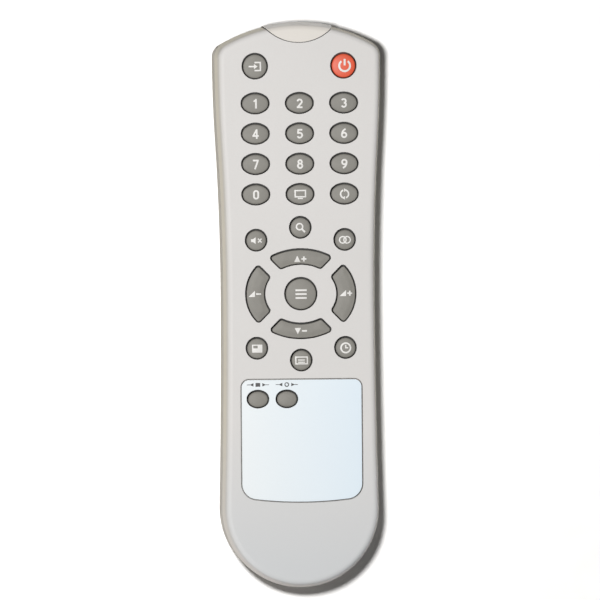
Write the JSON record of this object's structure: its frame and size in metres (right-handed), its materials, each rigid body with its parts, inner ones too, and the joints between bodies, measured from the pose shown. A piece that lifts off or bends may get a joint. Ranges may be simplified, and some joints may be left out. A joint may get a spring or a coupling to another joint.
{
  "type": "television remote control",
  "caption": "Slim handheld infrared remote with a waisted case, oval and round rubber keys, a split ring pad, a white panel and a sliding battery door.",
  "frame": {"origin": "middle of the underside, on the surface that the remote lies on", "axes": "+X to the right of the key side, +Y towards the emitter window, +Z out of the key side"},
  "size_m": [0.0562, 0.19, 0.021],
  "materials": {
    "case_plastic": "fine spark texture",
    "panel_plastic": "smooth satin",
    "window_plastic": "glossy",
    "key_rubber": "satin",
    "power_rubber": "satin",
    "mat_rubber": "matte",
    "board_laminate": "matte",
    "emitter_resin": "clear",
    "chip_epoxy": "matte",
    "resonator_coat": "gloss",
    "capacitor_sleeve": "gloss",
    "resistor_body": "matte",
    "contact_metal": "nickel plate",
    "cell_can": "printed sleeve",
    "screw_steel": "zinc plate"
  },
  "bodies": {
    "case": {"battery_left": "cell_can", "battery_right": "cell_can", "bridge_contact": "contact_metal", "capacitor": "capacitor_sleeve", "case_screw": "screw_steel", "ceramic_resonator": "resonator_coat", "chip_resistors": "resistor_body", "circuit_board": "board_laminate", "controller_chip": "chip_epoxy", "drive_transistor": "chip_epoxy", "emitter_window": "window_plastic", "infrared_emitter": "emitter_resin", "keypad_mat": "mat_rubber", "lower_case": "case_plastic", "negative_contact": "contact_metal", "positive_contact": "contact_metal", "upper_case": "case_plastic", "white_panel": "panel_plastic"},
    "battery_door": {"battery_door": "case_plastic"},
    "key_0": {"key_0": "key_rubber"},
    "key_1": {"key_1": "key_rubber"},
    "key_2": {"key_2": "key_rubber"},
    "key_3": {"key_3": "key_rubber"},
    "key_4": {"key_4": "key_rubber"},
    "key_5": {"key_5": "key_rubber"},
    "key_6": {"key_6": "key_rubber"},
    "key_7": {"key_7": "key_rubber"},
    "key_8": {"key_8": "key_rubber"},
    "key_9": {"key_9": "key_rubber"},
    "key_caption": {"key_caption": "key_rubber"},
    "key_channel_down": {"key_channel_down": "key_rubber"},
    "key_channel_up": {"key_channel_up": "key_rubber"},
    "key_display": {"key_display": "key_rubber"},
    "key_menu": {"key_menu": "key_rubber"},
    "key_mute": {"key_mute": "key_rubber"},
    "key_picture": {"key_picture": "key_rubber"},
    "key_picture_adjust": {"key_picture_adjust": "key_rubber"},
    "key_power": {"key_power": "power_rubber"},
    "key_recall": {"key_recall": "key_rubber"},
    "key_scan": {"key_scan": "key_rubber"},
    "key_sound": {"key_sound": "key_rubber"},
    "key_sound_adjust": {"key_sound_adjust": "key_rubber"},
    "key_source": {"key_source": "key_rubber"},
    "key_timer": {"key_timer": "key_rubber"},
    "key_volume_down": {"key_volume_down": "key_rubber"},
    "key_volume_up": {"key_volume_up": "key_rubber"}
  },
  "joints": [
    {"name": "battery_door_slide", "type": "slide", "parent": "case", "child": "battery_door", "axis": [0, -1, 0], "range_m": [0, 0.062]},
    {"name": "0_press", "type": "slide", "parent": "case", "child": "key_0", "axis": [0, 0, -1], "range_m": [0, 0.0008], "stiffness_N_per_m": 1200},
    {"name": "1_press", "type": "slide", "parent": "case", "child": "key_1", "axis": [0, 0, -1], "range_m": [0, 0.0008], "stiffness_N_per_m": 1200},
    {"name": "2_press", "type": "slide", "parent": "case", "child": "key_2", "axis": [0, 0, -1], "range_m": [0, 0.0008], "stiffness_N_per_m": 1200},
    {"name": "3_press", "type": "slide", "parent": "case", "child": "key_3", "axis": [0, 0, -1], "range_m": [0, 0.0008], "stiffness_N_per_m": 1200},
    {"name": "4_press", "type": "slide", "parent": "case", "child": "key_4", "axis": [0, 0, -1], "range_m": [0, 0.0008], "stiffness_N_per_m": 1200},
    {"name": "5_press", "type": "slide", "parent": "case", "child": "key_5", "axis": [0, 0, -1], "range_m": [0, 0.0008], "stiffness_N_per_m": 1200},
    {"name": "6_press", "type": "slide", "parent": "case", "child": "key_6", "axis": [0, 0, -1], "range_m": [0, 0.0008], "stiffness_N_per_m": 1200},
    {"name": "7_press", "type": "slide", "parent": "case", "child": "key_7", "axis": [0, 0, -1], "range_m": [0, 0.0008], "stiffness_N_per_m": 1200},
    {"name": "8_press", "type": "slide", "parent": "case", "child": "key_8", "axis": [0, 0, -1], "range_m": [0, 0.0008], "stiffness_N_per_m": 1200},
    {"name": "9_press", "type": "slide", "parent": "case", "child": "key_9", "axis": [0, 0, -1], "range_m": [0, 0.0008], "stiffness_N_per_m": 1200},
    {"name": "caption_press", "type": "slide", "parent": "case", "child": "key_caption", "axis": [0, 0, -1], "range_m": [0, 0.0008], "stiffness_N_per_m": 1200},
    {"name": "channel_down_press", "type": "slide", "parent": "case", "child": "key_channel_down", "axis": [0, 0, -1], "range_m": [0, 0.0008], "stiffness_N_per_m": 1200},
    {"name": "channel_up_press", "type": "slide", "parent": "case", "child": "key_channel_up", "axis": [0, 0, -1], "range_m": [0, 0.0008], "stiffness_N_per_m": 1200},
    {"name": "display_press", "type": "slide", "parent": "case", "child": "key_display", "axis": [0, 0, -1], "range_m": [0, 0.0008], "stiffness_N_per_m": 1200},
    {"name": "menu_press", "type": "slide", "parent": "case", "child": "key_menu", "axis": [0, 0, -1], "range_m": [0, 0.0008], "stiffness_N_per_m": 1200},
    {"name": "mute_press", "type": "slide", "parent": "case", "child": "key_mute", "axis": [0, 0, -1], "range_m": [0, 0.0008], "stiffness_N_per_m": 1200},
    {"name": "picture_press", "type": "slide", "parent": "case", "child": "key_picture", "axis": [0, 0, -1], "range_m": [0, 0.0008], "stiffness_N_per_m": 1200},
    {"name": "picture_adjust_press", "type": "slide", "parent": "case", "child": "key_picture_adjust", "axis": [0, 0, -1], "range_m": [0, 0.0008], "stiffness_N_per_m": 1200},
    {"name": "power_press", "type": "slide", "parent": "case", "child": "key_power", "axis": [0, 0, -1], "range_m": [0, 0.0008], "stiffness_N_per_m": 1200},
    {"name": "recall_press", "type": "slide", "parent": "case", "child": "key_recall", "axis": [0, 0, -1], "range_m": [0, 0.0008], "stiffness_N_per_m": 1200},
    {"name": "scan_press", "type": "slide", "parent": "case", "child": "key_scan", "axis": [0, 0, -1], "range_m": [0, 0.0008], "stiffness_N_per_m": 1200},
    {"name": "sound_press", "type": "slide", "parent": "case", "child": "key_sound", "axis": [0, 0, -1], "range_m": [0, 0.0008], "stiffness_N_per_m": 1200},
    {"name": "sound_adjust_press", "type": "slide", "parent": "case", "child": "key_sound_adjust", "axis": [0, 0, -1], "range_m": [0, 0.0008], "stiffness_N_per_m": 1200},
    {"name": "source_press", "type": "slide", "parent": "case", "child": "key_source", "axis": [0, 0, -1], "range_m": [0, 0.0008], "stiffness_N_per_m": 1200},
    {"name": "timer_press", "type": "slide", "parent": "case", "child": "key_timer", "axis": [0, 0, -1], "range_m": [0, 0.0008], "stiffness_N_per_m": 1200},
    {"name": "volume_down_press", "type": "slide", "parent": "case", "child": "key_volume_down", "axis": [0, 0, -1], "range_m": [0, 0.0008], "stiffness_N_per_m": 1200},
    {"name": "volume_up_press", "type": "slide", "parent": "case", "child": "key_volume_up", "axis": [0, 0, -1], "range_m": [0, 0.0008], "stiffness_N_per_m": 1200}
  ]
}
